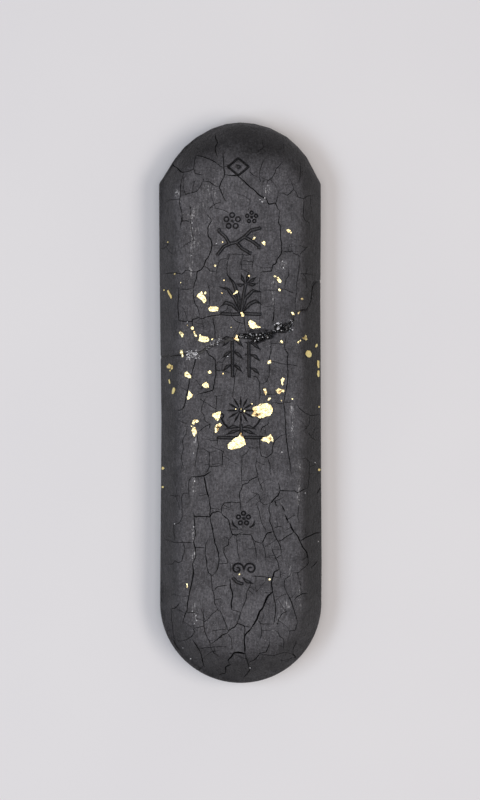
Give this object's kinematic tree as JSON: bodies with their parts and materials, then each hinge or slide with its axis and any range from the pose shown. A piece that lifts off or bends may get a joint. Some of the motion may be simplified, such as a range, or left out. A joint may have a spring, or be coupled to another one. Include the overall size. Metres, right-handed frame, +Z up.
{
  "type": "ink stick",
  "caption": "Old pressed ink stick, a long pillow-shaped cake with rounded ends, line ornament on its face, a glued diagonal break, drying cracks and flakes of gold leaf",
  "frame": {"origin": "Middle of the flat back face that the stick rests on, at mid length and mid width, at the resting height.", "axes": "+Z up through the thickness to the pressed face, +Y along the length towards the head (the shallow-arched end), +X across the width to the right when the face is read with the head up."},
  "size_m": [0.03, 0.105, 0.0123],
  "materials": {
    "ink_body": "matte charcoal with fine drying cracks",
    "fresh_ink": "glossy black fracture",
    "dark_glue": "dark glassy glue",
    "glue_crust": "whitish glassy glue",
    "gold_leaf": "thin crinkled gold leaf"
  },
  "bodies": {
    "root": {"upper_fragment": "ink_body", "lower_fragment": "ink_body", "mend_seam": "dark_glue", "glue_pool": "dark_glue", "glue_crust_left": "glue_crust", "glue_crust_middle": "glue_crust", "glue_crust_right": "glue_crust", "ink_chip_1": "fresh_ink", "ink_chip_2": "fresh_ink", "ink_chip_3": "fresh_ink", "gold_flake_01": "gold_leaf", "gold_flake_02": "gold_leaf", "gold_flake_03": "gold_leaf", "gold_flake_04": "gold_leaf", "gold_flake_05": "gold_leaf", "gold_flake_06": "gold_leaf", "gold_flake_07": "gold_leaf", "gold_flake_08": "gold_leaf", "gold_flake_09": "gold_leaf", "gold_flake_10": "gold_leaf", "gold_flake_11": "gold_leaf", "gold_flake_12": "gold_leaf", "gold_flake_13": "gold_leaf", "gold_flake_14": "gold_leaf", "gold_flake_15": "gold_leaf", "gold_flake_16": "gold_leaf", "gold_flake_17": "gold_leaf", "gold_flake_18": "gold_leaf", "gold_flake_19": "gold_leaf", "gold_flake_20": "gold_leaf", "gold_flake_21": "gold_leaf", "gold_flake_22": "gold_leaf", "gold_flake_23": "gold_leaf", "gold_flake_24": "gold_leaf", "gold_flake_25": "gold_leaf", "gold_flake_26": "gold_leaf", "gold_flake_27": "gold_leaf", "gold_flake_28": "gold_leaf", "gold_flake_29": "gold_leaf", "gold_flake_30": "gold_leaf", "gold_flake_31": "gold_leaf", "gold_flake_32": "gold_leaf", "gold_flake_33": "gold_leaf", "gold_flake_34": "gold_leaf", "gold_flake_35": "gold_leaf", "gold_flake_36": "gold_leaf", "gold_flake_37": "gold_leaf", "gold_flake_38": "gold_leaf", "gold_flake_39": "gold_leaf", "gold_flake_40": "gold_leaf", "gold_flake_41": "gold_leaf", "gold_flake_42": "gold_leaf", "gold_flake_43": "gold_leaf", "gold_flake_44": "gold_leaf", "gold_flake_45": "gold_leaf", "gold_flake_46": "gold_leaf", "gold_flake_47": "gold_leaf", "gold_flake_48": "gold_leaf"}
  },
  "joints": []
}
